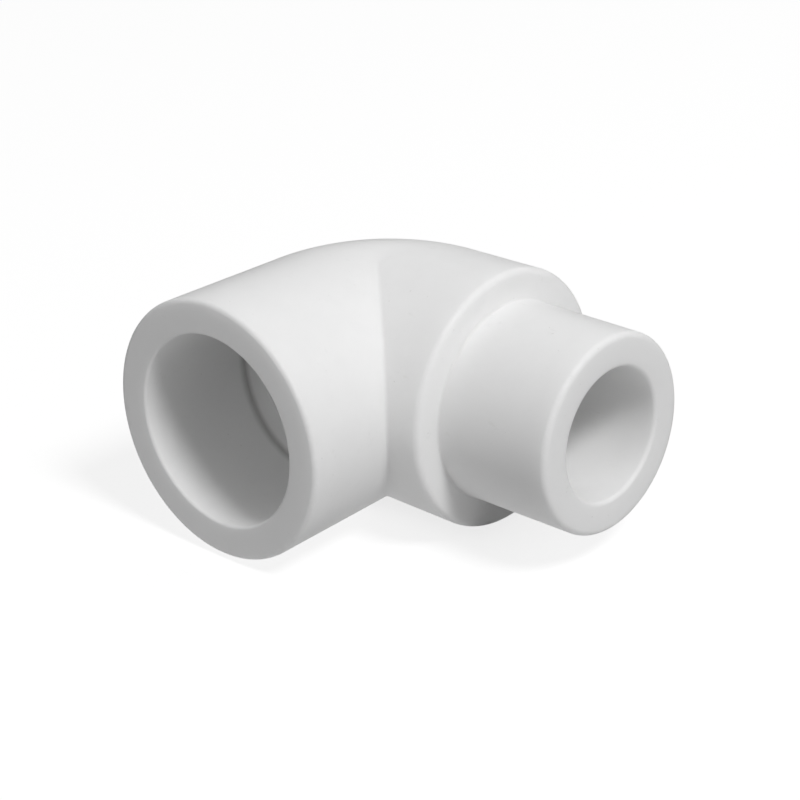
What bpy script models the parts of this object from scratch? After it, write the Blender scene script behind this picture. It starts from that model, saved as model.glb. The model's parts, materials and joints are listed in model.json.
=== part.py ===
"""Street elbow for 25 mm fusion-welded plastic pipe: one thick-walled injection moulding.

The elbow turns a pipe run through 90 degrees. One end is a socket that a pipe is welded into, the
other is a plain spigot that is welded into the socket of the next fitting.

Frame: metres, +Z up. The axes of the two bores meet at the bend centre and lie in a horizontal
plane. The socket opens along -Y and the spigot points along +X. The origin is the centre of the
bounding box's bottom face, on the surface the elbow rests on.
"""
import math

import bmesh
import bpy
from mathutils import Vector

MM = 0.001

# Socket hub, measured from the bend centre along -Y.
SOCKET_FACE = 28.8 * MM
SOCKET_DEPTH = 16.6 * MM
SOCKET_MOUTH_RADIUS = 12.15 * MM
SOCKET_ROOT_RADIUS = 11.85 * MM
SOCKET_LIP = 0.35 * MM
STOP_FILLET = 0.25 * MM
HUB_MOUTH_RADIUS = 16.5 * MM
RIM_ROUND = 0.6 * MM

# Bend between the two hubs.
HUB_BEND_RADIUS = 16.15 * MM
OUTER_BEND_RADIUS = 22.0 * MM
CREASE_FADE_OFFSET = 5.0 * MM

# Spigot, measured from the bend centre along +X.
SHOULDER_FACE = 21.0 * MM
SHOULDER_RADIUS = 16.3 * MM
SHOULDER_ROUND = 0.8 * MM
SPIGOT_END = 37.2 * MM
SPIGOT_RADIUS = 12.5 * MM
SPIGOT_END_ROUND = 0.6 * MM
ROOT_FILLET = 0.3 * MM
BORE_RADIUS = 8.3 * MM
BORE_LIP = 0.3 * MM

# How far cutters and joined pieces run past the faces they work on.
OVERRUN = 2.0 * MM
ROOT_BURY = 0.02 * MM

# Smoothness of the solids.
RING_STEPS = 72
BEND_STEPS = 9
ROUND_STEPS = 3
MERGE_DISTANCE = 0.01 * MM
SHARP_ANGLE = math.radians(30.0)

# The bend centre, placed so that the bounding box stands on the origin.
BEND_CENTRE = Vector((
    (HUB_MOUTH_RADIUS - SPIGOT_END) / 2.0,
    (SOCKET_FACE - SHOULDER_RADIUS) / 2.0,
    HUB_MOUTH_RADIUS,
))


def clear_scene():
    """Remove every object left in the open scene."""
    for obj in list(bpy.data.objects):
        bpy.data.objects.remove(obj, do_unlink=True)


def make_collection(name):
    """Add a collection to the scene and return it."""
    collection = bpy.data.collections.new(name)
    bpy.context.scene.collection.children.link(collection)
    return collection


def white_plastic():
    """Satin white polypropylene."""
    material = bpy.data.materials.new("white_plastic")
    material.use_nodes = True
    shader = material.node_tree.nodes["Principled BSDF"]
    shader.inputs["Base Color"].default_value = (0.86, 0.86, 0.85, 1.0)
    shader.inputs["Roughness"].default_value = 0.42
    shader.inputs["Metallic"].default_value = 0.0
    return material


def ring_angles():
    """Angles round a section, from the inside of the bend up over the top."""
    return [2.0 * math.pi * step / RING_STEPS for step in range(RING_STEPS)]


def socket_leg_ring(distance, radius):
    """A circle round the socket axis, at a distance from the bend centre."""
    return [
        Vector((radius * math.cos(a), -distance, radius * math.sin(a)))
        for a in ring_angles()
    ]


def spigot_leg_ring(distance, radius):
    """A circle round the spigot axis, at a distance from the bend centre."""
    return [
        Vector((distance, -radius * math.cos(a), radius * math.sin(a)))
        for a in ring_angles()
    ]


def bend_rings(radius, plan_radius):
    """Sections of a mitred bend whose edge is rounded in plan.

    Every line along the tube lies at its own offset from the tube's axis, positive towards the
    inside of the bend. plan_radius gives the arc, seen from above, on which the line at that
    offset turns the corner. An arc of radius zero leaves the mitre sharp.
    """
    rings = []
    for step in range(BEND_STEPS + 1):
        turn = math.pi / 2.0 * step / BEND_STEPS
        ring = []
        for a in ring_angles():
            offset = radius * math.cos(a)
            arc = plan_radius(offset)
            ring.append(Vector((
                offset + arc * (1.0 - math.cos(turn)),
                -offset - arc * (1.0 - math.sin(turn)),
                radius * math.sin(a),
            )))
        rings.append(ring)
    return rings


def hub_plan_radius(offset):
    """The hub's corner: sharp on the inside of the bend, widening to a full round outside."""
    span = (CREASE_FADE_OFFSET - offset) / (CREASE_FADE_OFFSET + HUB_BEND_RADIUS)
    return OUTER_BEND_RADIUS * math.sin(math.pi / 2.0 * max(0.0, span))


def bore_plan_radius(offset):
    """The waterway's corner: mitred inside, with the ball end of the core pin outside."""
    return max(0.0, -offset)


def quarter_round(size):
    """Steps of an edge round from the end face to the side.

    Each step is a pair of distances: back from the face, and in from the side.
    """
    steps = []
    for step in range(ROUND_STEPS + 1):
        a = math.pi / 2.0 * step / ROUND_STEPS
        steps.append((size * (1.0 - math.cos(a)), size * (1.0 - math.sin(a))))
    return steps


def loft(name, rings, collection):
    """Skin a closed solid over sections that all have the same number of points."""
    mesh = bpy.data.meshes.new(name)
    body = bmesh.new()
    rows = [[body.verts.new(point) for point in ring] for ring in rings]
    for near, far in zip(rows, rows[1:]):
        for left in range(RING_STEPS):
            right = (left + 1) % RING_STEPS
            body.faces.new((near[left], near[right], far[right], far[left]))
    body.faces.new(list(reversed(rows[0])))
    body.faces.new(rows[-1])
    bmesh.ops.remove_doubles(body, verts=body.verts[:], dist=MERGE_DISTANCE)
    bmesh.ops.recalc_face_normals(body, faces=body.faces[:])
    body.to_mesh(mesh)
    body.free()
    return place(name, mesh, collection)


def turned(name, profile, collection):
    """Turn a profile of (radius, height) points, listed from the top down, round the Z axis."""
    mesh = bpy.data.meshes.new(name)
    outline = bmesh.new()
    points = [outline.verts.new((radius, 0.0, height)) for radius, height in profile]
    for upper, lower in zip(points, points[1:]):
        outline.edges.new((upper, lower))
    outline.to_mesh(mesh)
    outline.free()
    obj = place(name, mesh, collection)
    screw = obj.modifiers.new("turn", "SCREW")
    screw.axis = "Z"
    screw.angle = 2.0 * math.pi
    screw.steps = RING_STEPS
    screw.render_steps = RING_STEPS
    screw.use_merge_vertices = True
    screw.merge_threshold = MERGE_DISTANCE
    return obj


def place(name, mesh, collection):
    """Put a mesh made round the bend centre into the scene."""
    obj = bpy.data.objects.new(name, mesh)
    obj.location = BEND_CENTRE
    collection.objects.link(obj)
    return obj


def hide_tool(obj):
    """Show a Boolean operand as wire and keep it out of renders."""
    obj.hide_render = True
    obj.display_type = "WIRE"


def hub_body(collection):
    """The two hubs and the bend between them, from the socket's rim to the shoulder."""
    rings = [
        socket_leg_ring(SOCKET_FACE - back, HUB_MOUTH_RADIUS - inward)
        for back, inward in quarter_round(RIM_ROUND)
    ]
    rings += bend_rings(HUB_BEND_RADIUS, hub_plan_radius)
    rings += [
        spigot_leg_ring(SHOULDER_FACE - back, SHOULDER_RADIUS - inward)
        for back, inward in reversed(quarter_round(SHOULDER_ROUND))
    ]
    return loft("elbow_moulding", rings, collection)


def spigot_solid(collection):
    """The spigot with its root fillet, buried in the shoulder by the overrun."""
    profile = [(0.0, SPIGOT_END)]
    for back, inward in quarter_round(SPIGOT_END_ROUND):
        profile.append((SPIGOT_RADIUS - inward, SPIGOT_END - back))
    for outward, up in quarter_round(ROOT_FILLET):
        profile.append((SPIGOT_RADIUS + outward, SHOULDER_FACE - ROOT_BURY + up))
    profile.append((SPIGOT_RADIUS + ROOT_FILLET, SHOULDER_FACE - OVERRUN))
    profile.append((0.0, SHOULDER_FACE - OVERRUN))
    solid = turned("spigot_solid", profile, collection)
    solid.rotation_euler = (0.0, math.pi / 2.0, 0.0)
    return solid


def socket_cutter(collection):
    """The socket: lip chamfer, tapered bore and the stop at its root."""
    root = SOCKET_FACE - SOCKET_DEPTH
    profile = [
        (0.0, SOCKET_FACE + OVERRUN),
        (SOCKET_MOUTH_RADIUS + SOCKET_LIP + OVERRUN, SOCKET_FACE + OVERRUN),
        (SOCKET_MOUTH_RADIUS, SOCKET_FACE - SOCKET_LIP),
    ]
    for back, inward in reversed(quarter_round(STOP_FILLET)):
        profile.append((SOCKET_ROOT_RADIUS - inward, root + back))
    profile.append((0.0, root))
    cutter = turned("socket_cutter", profile, collection)
    cutter.rotation_euler = (math.pi / 2.0, 0.0, 0.0)
    return cutter


def waterway_cutter(collection):
    """The waterway: from inside the socket, round the mitred bend, out of the spigot's end."""
    rings = [socket_leg_ring(SOCKET_FACE - SOCKET_DEPTH + OVERRUN, BORE_RADIUS)]
    rings += bend_rings(BORE_RADIUS, bore_plan_radius)
    rings += [
        spigot_leg_ring(SPIGOT_END - BORE_LIP, BORE_RADIUS),
        spigot_leg_ring(SPIGOT_END + OVERRUN, BORE_RADIUS + BORE_LIP + OVERRUN),
    ]
    return loft("waterway_cutter", rings, collection)


def combine(obj, tool, operation):
    """Join a tool to the body, or cut it away."""
    boolean = obj.modifiers.new(tool.name, "BOOLEAN")
    boolean.operation = operation
    boolean.solver = "EXACT"
    boolean.object = tool
    hide_tool(tool)


def apply_modifiers(obj):
    """Replace the object's mesh with the one its modifiers make, its doubled points merged."""
    bpy.context.view_layer.update()
    graph = bpy.context.evaluated_depsgraph_get()
    mesh = bpy.data.meshes.new_from_object(obj.evaluated_get(graph))
    mesh.name = obj.name
    obj.modifiers.clear()
    obj.data = mesh
    body = bmesh.new()
    body.from_mesh(mesh)
    bmesh.ops.remove_doubles(body, verts=body.verts[:], dist=MERGE_DISTANCE)
    bmesh.ops.dissolve_degenerate(body, edges=body.edges[:], dist=MERGE_DISTANCE)
    body.to_mesh(mesh)
    body.free()


def shade(obj):
    """Smooth shading on the round faces, with the real corners kept sharp."""
    obj.data.shade_smooth()
    obj.data.set_sharp_from_angle(angle=SHARP_ANGLE)


def build():
    """Build the elbow."""
    clear_scene()
    parts = make_collection("street_elbow")
    tools = make_collection("tools")
    elbow = hub_body(parts)
    elbow.data.materials.append(white_plastic())
    combine(elbow, spigot_solid(tools), "UNION")
    combine(elbow, socket_cutter(tools), "DIFFERENCE")
    combine(elbow, waterway_cutter(tools), "DIFFERENCE")
    apply_modifiers(elbow)
    shade(elbow)


build()
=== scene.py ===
"""Looks of the street elbow: one satin white moulding on a plain pale floor.

The frame gives the places of the elbow's faces. The visible skin is one closed loft that runs from
the socket's rim over the outside to the spigot's end, and back through the waterway.
"""
import json
import math

import bmesh
import bpy
from mathutils import Matrix, Vector


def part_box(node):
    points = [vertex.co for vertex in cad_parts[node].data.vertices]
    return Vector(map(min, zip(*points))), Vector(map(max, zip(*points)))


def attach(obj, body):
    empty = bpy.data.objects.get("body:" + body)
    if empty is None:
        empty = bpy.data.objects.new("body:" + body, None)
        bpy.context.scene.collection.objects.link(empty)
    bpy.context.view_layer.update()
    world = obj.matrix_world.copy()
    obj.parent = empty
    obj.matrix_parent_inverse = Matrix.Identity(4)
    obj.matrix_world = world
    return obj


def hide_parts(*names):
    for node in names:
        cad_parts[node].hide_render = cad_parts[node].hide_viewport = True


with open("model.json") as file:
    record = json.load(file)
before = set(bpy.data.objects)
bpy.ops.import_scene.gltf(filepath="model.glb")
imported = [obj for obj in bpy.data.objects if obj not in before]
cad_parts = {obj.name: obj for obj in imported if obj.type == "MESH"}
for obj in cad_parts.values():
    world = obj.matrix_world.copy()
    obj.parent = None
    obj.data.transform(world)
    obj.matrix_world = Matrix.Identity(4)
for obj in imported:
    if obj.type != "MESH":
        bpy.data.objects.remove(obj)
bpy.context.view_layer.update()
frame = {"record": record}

MM = 0.001

# Radii of the skin that the frame doesn't hold, as in the CAD model.
HUB_BEND_RADIUS = 16.15 * MM
SHOULDER_RADIUS = 16.3 * MM
SOCKET_MOUTH_RADIUS = 12.15 * MM
SOCKET_ROOT_RADIUS = 11.85 * MM
SPIGOT_RADIUS = 12.5 * MM
BORE_RADIUS = 8.3 * MM
OUTER_BEND_RADIUS = 22.0 * MM
CREASE_FADE_OFFSET = 5.0 * MM

# Places and sizes worked out from the frame. Faces are measured from the bend centre.
LOW, HIGH = (Vector(corner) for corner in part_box("elbow_moulding"))
FACES = {mount["name"]: Vector(mount["pos_m"]) for mount in frame["record"]["mounts"]}
HUB_MOUTH_RADIUS = (HIGH.z - LOW.z) / 2.0
BEND_CENTRE = Vector((LOW.x + HUB_MOUTH_RADIUS, HIGH.y - SHOULDER_RADIUS, LOW.z + HUB_MOUTH_RADIUS))
SOCKET_FACE = BEND_CENTRE.y - FACES["socket_rim"].y
PIPE_STOP = BEND_CENTRE.y - FACES["pipe_stop"].y
SHOULDER_FACE = FACES["shoulder"].x - BEND_CENTRE.x
SPIGOT_END = FACES["spigot_end"].x - BEND_CENTRE.x

# Edge rounds and fillets.
RIM_ROUND = 0.6 * MM
SOCKET_LIP_ROUND = 0.35 * MM
CREASE_FILLET = 0.35 * MM
SHOULDER_ROUND = 0.8 * MM
ROOT_FILLET = 0.3 * MM
SPIGOT_END_ROUND = 0.75 * MM
BORE_LIP_ROUND = 0.5 * MM
STOP_EDGE_ROUND = 0.25 * MM
STOP_FILLET = 0.2 * MM

# Fineness of the skin. SUPPORT is how far past an edge round a ring keeps the face next to it flat.
RING_STEPS = 288
BEND_STEPS = 40
ROUND_STEPS = 6
SUPPORT = 0.08 * MM

# How far the painted shade reaches out of the corner at the pipe stop, and the rings that carry it.
CORNER_SHADE_REACH = 1.3 * MM
CORNER_STEPS = 4

# Surface of the plastic: its shine and scattering, sizes of its features and depths of its relief.
SPECULAR_LEVEL = 0.35
SCATTER_WEIGHT = 0.8
SCATTER_DEPTH = 1.8 * MM
GRAIN_SIZE = 0.22 * MM
GRAIN_DEPTH = 0.008 * MM
WAVE_SIZE = 3.5 * MM
WAVE_DEPTH = 0.03 * MM
CLOUD_SIZE = 7.0 * MM
RUB_SIZE = 3.0 * MM
STREAK_SIZE = 0.35 * MM
STREAK_STRETCH = (4.0, 1.0, 1.5)
SPECK_SIZE = 0.5 * MM
NICK_SIZE = 0.9 * MM
SCUFF_DEPTH = 0.012 * MM

# Values of a noise, or of the edge and corner marks, over which each mark fades in, the painted
# highlight on edges and the painted shade in fillets and at the pipe stop too.
CLOUD_FADE = (0.35, 0.65)
GLOSS_FADE = (0.3, 0.7)
RUB_FADE = (0.6, 0.72)
STREAK_FADE = (0.52, 0.66)
SPECK_FADE = (0.77, 0.82)
NICK_FADE = (0.5, 0.68)
EDGE_FADE = (0.2, 0.9)
FILLET_FADE = (-0.9, -0.1)
CORNER_SHADE_FADE = (0.1, 0.95)

# Tones of the plastic and its marks, and how much of its tone each mark gives. The lighter edges are
# partly a painted highlight; the darker fillets and the corner at the pipe stop are painted shade.
TONE_LIGHT = (0.945, 0.945, 0.942, 1.0)
TONE_DEEP = (0.922, 0.922, 0.92, 1.0)
TONE_SCUFF = (0.86, 0.86, 0.856, 1.0)
# Lighter outside edges: partly stress-whitened wear, partly a painted highlight.
TONE_RUBBED_HIGHLIGHT = (0.97, 0.97, 0.97, 1.0)
# Dark specks; the same tone is also painted shade in the fillets.
TONE_SPECK_AND_SHADE = (0.72, 0.72, 0.71, 1.0)
# Painted shade in the corner at the pipe stop.
TONE_CORNER_SHADE = (0.6, 0.6, 0.595, 1.0)
SCUFF_SHARE = 0.5
SPECK_SHARE = 0.6
RUBBED_HIGHLIGHT_SHARE = 0.4
DUST_AND_SHADE_SHARE = 0.12
CORNER_SHADE_SHARE = 0.8

# Roughness of the plastic, and what the marks add to it.
ROUGHNESS = (0.46, 0.54)
SCUFF_ROUGHNESS = 0.14
RUBBED_ROUGHNESS = 0.1

# Camera: where it stands round the elbow, how far off, and what its middle looks at.
CAMERA_AZIMUTH = math.radians(43.08)
CAMERA_ELEVATION = math.radians(24.64)
CAMERA_ROLL = math.radians(-1.74)
CAMERA_DISTANCE = 335.3 * MM
CAMERA_TARGET = BEND_CENTRE + Vector((3.37, -0.10, -5.18)) * MM
CAMERA_LENS_MM = 119.8
CAMERA_SENSOR_MM = 36.0
CAMERA_NEAR = 0.01

# Studio light: a small key softbox, and a light tent as (height of the direction, radiance).
KEY_AZIMUTH = math.radians(77.5)
KEY_ELEVATION = math.radians(50.0)
KEY_DISTANCE = 1.2
KEY_SIZE = 0.3
KEY_POWER = 7.8
TENT = (
    (-1.0, 0.67), (-0.56, 0.67), (-0.44, 0.0), (0.08, 0.0),
    (0.22, 0.62), (0.45, 0.62), (0.55, 0.35), (1.0, 0.35),
)

# Stage: the floor, the hidden patch that shades the elbow from below, and the backdrop.
FLOOR_HALF = 3.0
FLOOR_GAP = 0.5 * MM
FLOOR_TONE = 0.3
FLOOR_GLOW = 0.77
PATCH_MIDDLE = (-4.0 * MM, 13.0 * MM)
PATCH_HALF = (19.0 * MM, 14.0 * MM)
PATCH_TONE = 0.3
PATCH_GLOW = 0.04
BACKDROP_RADIUS = 2.6
BACKDROP_SEGMENTS = 48
BACKDROP_RINGS = 24
BACKDROP_GLOW = 0.9


def direction(azimuth, elevation):
    """Unit vector towards a point round the object; azimuth 0 is in front, at -Y."""
    level = math.cos(elevation)
    return Vector((math.sin(azimuth) * level, -math.cos(azimuth) * level, math.sin(elevation)))


def ring_angles():
    """Angles round a section, from the inside of the bend up over the top."""
    return [2.0 * math.pi * step / RING_STEPS for step in range(RING_STEPS)]


def socket_leg_ring(distance, radius):
    """A circle round the socket axis, at a distance from the bend centre."""
    return [
        Vector((radius * math.cos(a), -distance, radius * math.sin(a)))
        for a in ring_angles()
    ]


def spigot_leg_ring(distance, radius):
    """A circle round the spigot axis, at a distance from the bend centre."""
    return [
        Vector((distance, -radius * math.cos(a), radius * math.sin(a)))
        for a in ring_angles()
    ]


def bend_rings(radius, plan_radius):
    """Sections of a mitred bend whose edge is rounded in plan.

    plan_radius gives the arc, seen from above, on which a line along the tube turns the corner. It
    depends on the line's offset from the tube's axis, positive towards the inside of the bend.
    """
    rings = []
    for step in range(BEND_STEPS + 1):
        turn = math.pi / 2.0 * step / BEND_STEPS
        ring = []
        for a in ring_angles():
            offset = radius * math.cos(a)
            arc = plan_radius(offset)
            ring.append(Vector((
                offset + arc * (1.0 - math.cos(turn)),
                -offset - arc * (1.0 - math.sin(turn)),
                radius * math.sin(a),
            )))
        rings.append(ring)
    return rings


def hub_plan_radius(offset):
    """The hub's corner: nearly sharp on the inside of the bend, widening to a full round outside."""
    span = (CREASE_FADE_OFFSET - offset) / (CREASE_FADE_OFFSET + HUB_BEND_RADIUS)
    return max(CREASE_FILLET, OUTER_BEND_RADIUS * math.sin(math.pi / 2.0 * max(0.0, span)))


def bore_plan_radius(offset):
    """The waterway's corner: nearly sharp inside, with the ball end of the core pin outside."""
    return max(CREASE_FILLET, -offset)


def quarter_round(size):
    """Steps of an edge round from the end face to the side, with a support step at each end.

    Each step is a pair of distances: back from the face, and in from the side.
    """
    steps = [(0.0, size + SUPPORT)]
    for step in range(ROUND_STEPS + 1):
        a = math.pi / 2.0 * step / ROUND_STEPS
        steps.append((size * (1.0 - math.cos(a)), size * (1.0 - math.sin(a))))
    steps.append((size + SUPPORT, 0.0))
    return steps


def outside_rings():
    """From the socket's rim over both hubs and the spigot to the spigot's end."""
    rings = [
        socket_leg_ring(SOCKET_FACE - back, HUB_MOUTH_RADIUS - inward)
        for back, inward in quarter_round(RIM_ROUND)
    ]
    rings += bend_rings(HUB_BEND_RADIUS, hub_plan_radius)
    rings += [
        spigot_leg_ring(SHOULDER_FACE - back, SHOULDER_RADIUS - inward)
        for back, inward in reversed(quarter_round(SHOULDER_ROUND))
    ]
    rings += [
        spigot_leg_ring(SHOULDER_FACE + up, SPIGOT_RADIUS + outward)
        for outward, up in reversed(quarter_round(ROOT_FILLET))
    ]
    rings += [
        spigot_leg_ring(SPIGOT_END - back, SPIGOT_RADIUS - inward)
        for back, inward in reversed(quarter_round(SPIGOT_END_ROUND))
    ]
    return rings


def inside_rings():
    """From the spigot's end back through the waterway and the socket to the rim."""
    rings = [
        spigot_leg_ring(SPIGOT_END - back, BORE_RADIUS + outward)
        for back, outward in quarter_round(BORE_LIP_ROUND)
    ]
    rings += reversed(bend_rings(BORE_RADIUS, bore_plan_radius))
    rings += [
        socket_leg_ring(PIPE_STOP - back, BORE_RADIUS + outward)
        for back, outward in reversed(quarter_round(STOP_EDGE_ROUND))
    ]
    reach = [CORNER_SHADE_REACH * step / CORNER_STEPS for step in range(CORNER_STEPS, 1, -1)]
    rings += [socket_leg_ring(PIPE_STOP, SOCKET_ROOT_RADIUS - away) for away in reach]
    rings += [
        socket_leg_ring(PIPE_STOP + up, SOCKET_ROOT_RADIUS - inward)
        for up, inward in quarter_round(STOP_FILLET)
    ]
    rings += [socket_leg_ring(PIPE_STOP + away, SOCKET_ROOT_RADIUS) for away in reversed(reach)]
    rings += [
        socket_leg_ring(SOCKET_FACE - back, SOCKET_MOUTH_RADIUS + outward)
        for back, outward in reversed(quarter_round(SOCKET_LIP_ROUND))
    ]
    return rings


def turn_at(before, here, after, along):
    """How sharply the skin turns at a point, as a part of a right angle.

    It is positive on an outside edge. along is the direction of the ring at that point.
    """
    first = here - before
    second = after - here
    sign = 1.0 if first.cross(second).dot(along) > 0.0 else -1.0
    return sign * first.angle(second, 0.0) / (math.pi / 2.0)


def mark_edges(mesh, rings):
    """Store where the skin turns an edge: 1 on a rounded outside edge, -1 in a fillet."""
    values = []
    count = len(rings)
    for index, ring in enumerate(rings):
        before = rings[index - 1]
        after = rings[(index + 1) % count]
        for step, here in enumerate(ring):
            along = ring[(step + 1) % RING_STEPS] - ring[step - 1]
            turn = turn_at(before[step], here, after[step], along) * ROUND_STEPS
            values.append(max(-1.0, min(1.0, turn)))
    edges = mesh.attributes.new("edge", "FLOAT", "POINT")
    edges.data.foreach_set("value", values)


def mark_corner_shade(mesh, rings):
    """Store how close the skin is to the corner between the socket and its stop, 1 in the corner: the
    mask of the painted shade there.
    """
    values = []
    for ring in rings:
        for point in ring:
            off_axis = math.hypot(point.x, point.z)
            away = math.hypot(-point.y - PIPE_STOP, off_axis - SOCKET_ROOT_RADIUS)
            inside = off_axis < HUB_BEND_RADIUS - RIM_ROUND
            values.append(max(0.0, 1.0 - away / CORNER_SHADE_REACH) if inside else 0.0)
    corner = mesh.attributes.new("corner", "FLOAT", "POINT")
    corner.data.foreach_set("value", values)


def elbow_skin():
    """The whole moulding as one closed skin, in place of its faceted CAD node."""
    mesh = bpy.data.meshes.new("elbow_skin")
    body = bmesh.new()
    rings = outside_rings() + inside_rings()
    rows = [[body.verts.new(BEND_CENTRE + point) for point in ring] for ring in rings]
    for near, far in zip(rows, rows[1:] + rows[:1]):
        for left in range(RING_STEPS):
            right = (left + 1) % RING_STEPS
            body.faces.new((near[left], near[right], far[right], far[left]))
    bmesh.ops.recalc_face_normals(body, faces=body.faces[:])
    body.to_mesh(mesh)
    body.free()
    mark_edges(mesh, rings)
    mark_corner_shade(mesh, rings)
    mesh.shade_smooth()
    skin = bpy.data.objects.new("elbow_skin", mesh)
    bpy.context.scene.collection.objects.link(skin)
    return skin


class Graph:
    """Adds shader nodes to a material or a world and links them."""

    def __init__(self, owner):
        self.tree = owner.node_tree

    def node(self, kind, **settings):
        """Add a node. A setting that names one of its properties goes there, the rest to inputs."""
        node = self.tree.nodes.new("ShaderNode" + kind)
        for key, value in settings.items():
            if hasattr(node, key):
                setattr(node, key, value)
            else:
                self.feed(node.inputs[key], value)
        return node

    def feed(self, socket, value):
        """Link an output to a socket, or set the socket's own value."""
        if isinstance(value, bpy.types.NodeSocket):
            self.tree.links.new(value, socket)
        else:
            socket.default_value = value

    def noise(self, coords, feature, detail=2.0, stretch=(1.0, 1.0, 1.0)):
        """Noise with features of a given size in metres, stretched along the axes."""
        mapping = self.node("Mapping")
        self.feed(mapping.inputs["Vector"], coords)
        self.feed(mapping.inputs["Scale"], [1.0 / (feature * along) for along in stretch])
        place = mapping.outputs["Vector"]
        return self.node("TexNoise", Vector=place, Scale=1.0, Detail=detail).outputs["Fac"]

    def remap(self, value, fade, onto=(0.0, 1.0), curve="SMOOTHSTEP"):
        """Carry a range of values onto another, and hold it at the ends."""
        node = self.node("MapRange", interpolation_type=curve)
        names = ("Value", "From Min", "From Max", "To Min", "To Max")
        for name, given in zip(names, (value, *fade, *onto)):
            self.feed(node.inputs[name], given)
        return node.outputs["Result"]

    def combine(self, operation, first, second):
        """One arithmetic operation on two values."""
        node = self.node("Math", operation=operation)
        self.feed(node.inputs[0], first)
        self.feed(node.inputs[1], second)
        return node.outputs["Value"]

    def tint(self, amount, first, second):
        """Colour between two, by an amount from 0 to 1. The colours are sockets 6, 7 and output 2."""
        node = self.node("Mix", data_type="RGBA")
        self.feed(node.inputs["Factor"], amount)
        self.feed(node.inputs[6], first)
        self.feed(node.inputs[7], second)
        return node.outputs[2]

    def bump(self, height, depth, below=None):
        """Relief of a given depth in metres, on top of another."""
        node = self.node("Bump", Strength=1.0, Distance=depth, Height=height)
        if below is not None:
            self.feed(node.inputs["Normal"], below)
        return node.outputs["Normal"]


def plastic():
    """Satin white polypropylene: eroded-mould grain, flow waves, handling marks, and outside edges
    that are lighter, partly from wear and partly as a painted highlight.

    The fillets are a little darker, partly from dust and partly as painted shade, and the corner at
    the pipe stop has a darker tone of painted shade.
    """
    material = bpy.data.materials.new("satin_white_plastic")
    material.use_nodes = True
    shader = material.node_tree.nodes["Principled BSDF"]
    shader.inputs["Specular IOR Level"].default_value = SPECULAR_LEVEL
    shader.inputs["Subsurface Weight"].default_value = SCATTER_WEIGHT
    shader.inputs["Subsurface Radius"].default_value = (1.0, 1.0, 1.0)
    shader.inputs["Subsurface Scale"].default_value = SCATTER_DEPTH
    g = Graph(material)
    place = g.node("TexCoord").outputs["Object"]
    edge = g.node("Attribute", attribute_name="edge").outputs["Fac"]
    # Mask of the painted shade in the corner at the pipe stop.
    corner = g.node("Attribute", attribute_name="corner").outputs["Fac"]

    grain = g.noise(place, GRAIN_SIZE)
    waves = g.noise(place, WAVE_SIZE)
    clouds = g.noise(place, CLOUD_SIZE, detail=4.0)
    rubs = g.remap(g.noise(place, RUB_SIZE, detail=3.0), RUB_FADE)
    streaks = g.remap(g.noise(place, STREAK_SIZE, 3.0, STREAK_STRETCH), STREAK_FADE)
    scuffs = g.combine("MULTIPLY", rubs, streaks)
    specks = g.remap(g.noise(place, SPECK_SIZE, detail=1.0), SPECK_FADE)
    nicks = g.remap(g.noise(place, NICK_SIZE, detail=3.0), NICK_FADE)
    # Lighter outside edges, broken by nicks: partly wear, partly a painted highlight.
    rubbed_and_highlit = g.combine("MULTIPLY", g.remap(edge, EDGE_FADE), nicks)
    # Darker fillets: partly dust, partly painted shade.
    dust_and_shade = g.remap(edge, FILLET_FADE, onto=(1.0, 0.0))

    colour = g.tint(g.remap(clouds, CLOUD_FADE), TONE_LIGHT, TONE_DEEP)
    for mark, share, tone in (
        (scuffs, SCUFF_SHARE, TONE_SCUFF),
        (specks, SPECK_SHARE, TONE_SPECK_AND_SHADE),
        (rubbed_and_highlit, RUBBED_HIGHLIGHT_SHARE, TONE_RUBBED_HIGHLIGHT),
        (dust_and_shade, DUST_AND_SHADE_SHARE, TONE_SPECK_AND_SHADE),
    ):
        colour = g.tint(g.combine("MULTIPLY", mark, share), colour, tone)
    # Painted shade in the corner at the pipe stop.
    colour = g.tint(g.remap(corner, CORNER_SHADE_FADE, onto=(0.0, CORNER_SHADE_SHARE)), colour, TONE_CORNER_SHADE)
    g.feed(shader.inputs["Base Color"], colour)

    rough = g.remap(clouds, GLOSS_FADE, onto=ROUGHNESS)
    for mark, extra in ((scuffs, SCUFF_ROUGHNESS), (rubbed_and_highlit, RUBBED_ROUGHNESS)):
        rough = g.combine("ADD", rough, g.combine("MULTIPLY", mark, extra))
    g.feed(shader.inputs["Roughness"], rough)

    relief = g.bump(waves, WAVE_DEPTH)
    relief = g.bump(grain, GRAIN_DEPTH, relief)
    relief = g.bump(g.combine("MAXIMUM", scuffs, rubbed_and_highlit), SCUFF_DEPTH, relief)
    g.feed(shader.inputs["Normal"], relief)
    return material


def stage_piece(name, shape, material):
    """A piece of the stage that only the camera sees, so that it holds back none of the light."""
    mesh = bpy.data.meshes.new(name)
    shape.to_mesh(mesh)
    shape.free()
    mesh.materials.append(material)
    obj = bpy.data.objects.new(name, mesh)
    obj.visible_diffuse = False
    obj.visible_glossy = False
    obj.visible_transmission = False
    obj.visible_shadow = False
    bpy.context.scene.collection.objects.link(obj)
    return obj


def flat_tone(name, tone, glow):
    """A plain matt tone that also glows."""
    material = bpy.data.materials.new(name)
    material.use_nodes = True
    shader = material.node_tree.nodes["Principled BSDF"]
    shader.inputs["Base Color"].default_value = (tone, tone, tone, 1.0)
    shader.inputs["Roughness"].default_value = 1.0
    shader.inputs["Specular IOR Level"].default_value = 0.0
    shader.inputs["Emission Color"].default_value = (1.0, 1.0, 1.0, 1.0)
    shader.inputs["Emission Strength"].default_value = glow
    return material


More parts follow.
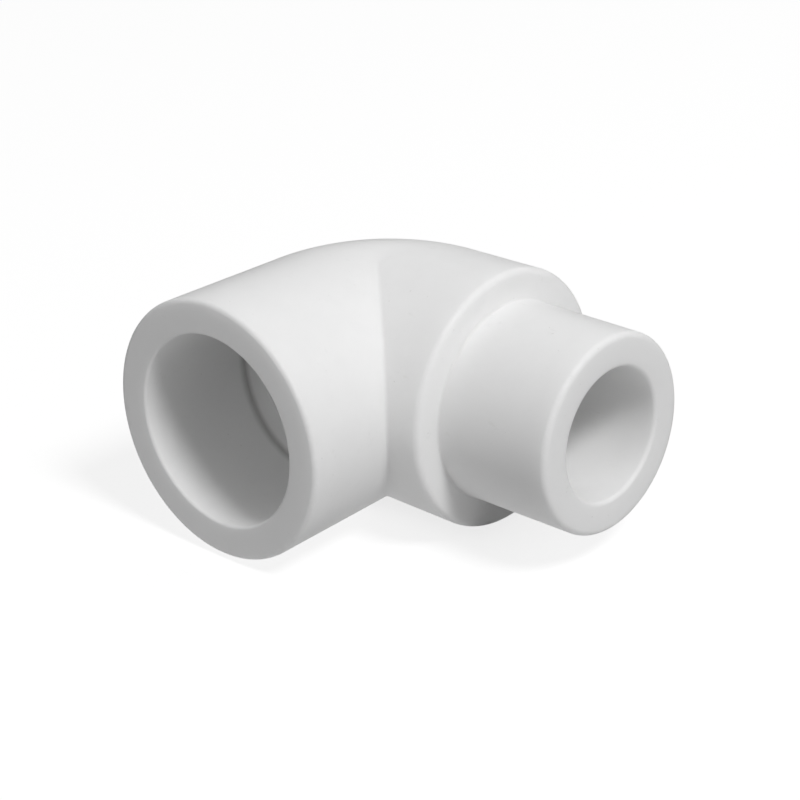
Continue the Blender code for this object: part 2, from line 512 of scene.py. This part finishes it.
def see_through_from_below(material):
    """Leave out the back of the floor, so that the elbow can be looked at from underneath."""
    g = Graph(material)
    nodes = material.node_tree.nodes
    mix = g.node("MixShader")
    g.feed(mix.inputs["Fac"], g.node("NewGeometry").outputs["Backfacing"])
    g.feed(mix.inputs[1], nodes["Principled BSDF"].outputs["BSDF"])
    g.feed(mix.inputs[2], g.node("BsdfTransparent").outputs["BSDF"])
    g.feed(nodes["Material Output"].inputs["Surface"], mix.outputs["Shader"])


def square(half):
    """A flat level square round the origin, facing up."""
    shape = bmesh.new()
    bmesh.ops.create_grid(shape, x_segments=1, y_segments=1, size=half)
    return shape


def build_floor():
    """A plain pale floor that the tent's light comes up through."""
    floor = stage_piece("floor", square(FLOOR_HALF), flat_tone("floor_white", FLOOR_TONE, FLOOR_GLOW))
    floor.location.z = LOW.z - FLOOR_GAP
    see_through_from_below(floor.data.materials[0])


def build_backdrop():
    """A plain backdrop all round, which hides the tent from the camera."""
    dome = bmesh.new()
    bmesh.ops.create_uvsphere(
        dome, u_segments=BACKDROP_SEGMENTS, v_segments=BACKDROP_RINGS, radius=BACKDROP_RADIUS
    )
    stage_piece("backdrop", dome, flat_tone("backdrop_white", 0.0, BACKDROP_GLOW))


def build_shade_patch():
    """A patch just under the floor that holds the tent's light back, as the elbow's shadow does.

    Unlike the rest of the stage it is hidden from the camera and does act on the light.
    """
    patch = stage_piece("shade_patch", square(1.0), flat_tone("shade_grey", PATCH_TONE, PATCH_GLOW))
    patch.location = (*PATCH_MIDDLE, LOW.z - 2.0 * FLOOR_GAP)
    patch.scale = (*PATCH_HALF, 1.0)
    patch.visible_camera = False
    patch.visible_diffuse = True
    patch.visible_shadow = True


def build_key():
    """The key light: a round softbox aimed at the elbow."""
    light = bpy.data.lights.new("key", "AREA")
    light.shape = "DISK"
    light.size = KEY_SIZE
    light.energy = KEY_POWER
    toward = direction(KEY_AZIMUTH, KEY_ELEVATION)
    key = bpy.data.objects.new("key", light)
    key.location = BEND_CENTRE + toward * KEY_DISTANCE
    key.rotation_euler = (-toward).to_track_quat("-Z", "Y").to_euler()
    bpy.context.scene.collection.objects.link(key)


def build_tent():
    """A light tent whose tone depends only on height, brightest below and round the sides."""
    world = bpy.data.worlds.new("tent")
    world.use_nodes = True
    g = Graph(world)
    height = g.node("SeparateXYZ", Vector=g.node("TexCoord").outputs["Generated"]).outputs["Z"]
    share = g.remap(height, (-1.0, 1.0), curve="LINEAR")
    ramp = g.node("ValToRGB", Fac=share)
    stops = ramp.color_ramp.elements
    while len(stops) < len(TENT):
        stops.new(1.0)
    for stop, (level, tone) in zip(stops, TENT):
        stop.position = (level + 1.0) / 2.0
        stop.color = (tone, tone, tone, 1.0)
    g.feed(world.node_tree.nodes["Background"].inputs["Color"], ramp.outputs["Color"])
    bpy.context.scene.world = world


def build_camera():
    """The camera at the photograph's angle, with its slight roll and its plain tones."""
    back = direction(CAMERA_AZIMUTH, CAMERA_ELEVATION)
    level_right = Vector((math.cos(CAMERA_AZIMUTH), math.sin(CAMERA_AZIMUTH), 0.0))
    turn = Matrix.Rotation(CAMERA_ROLL, 3, back)
    right = turn @ level_right
    upward = back.cross(right)
    data = bpy.data.cameras.new("camera")
    data.sensor_width = CAMERA_SENSOR_MM
    data.lens = CAMERA_LENS_MM
    data.clip_start = CAMERA_NEAR
    camera = bpy.data.objects.new("camera", data)
    camera.matrix_world = Matrix.Translation(CAMERA_TARGET + back * CAMERA_DISTANCE) @ Matrix(
        (right, upward, back)
    ).transposed().to_4x4()
    bpy.context.scene.collection.objects.link(camera)
    bpy.context.scene.camera = camera
    bpy.context.scene.view_settings.view_transform = "Standard"


skin = elbow_skin()
skin.data.materials.append(plastic())
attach(skin, "root")
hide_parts("elbow_moulding")
build_floor()
build_backdrop()
build_shade_patch()
build_key()
build_tent()
build_camera()
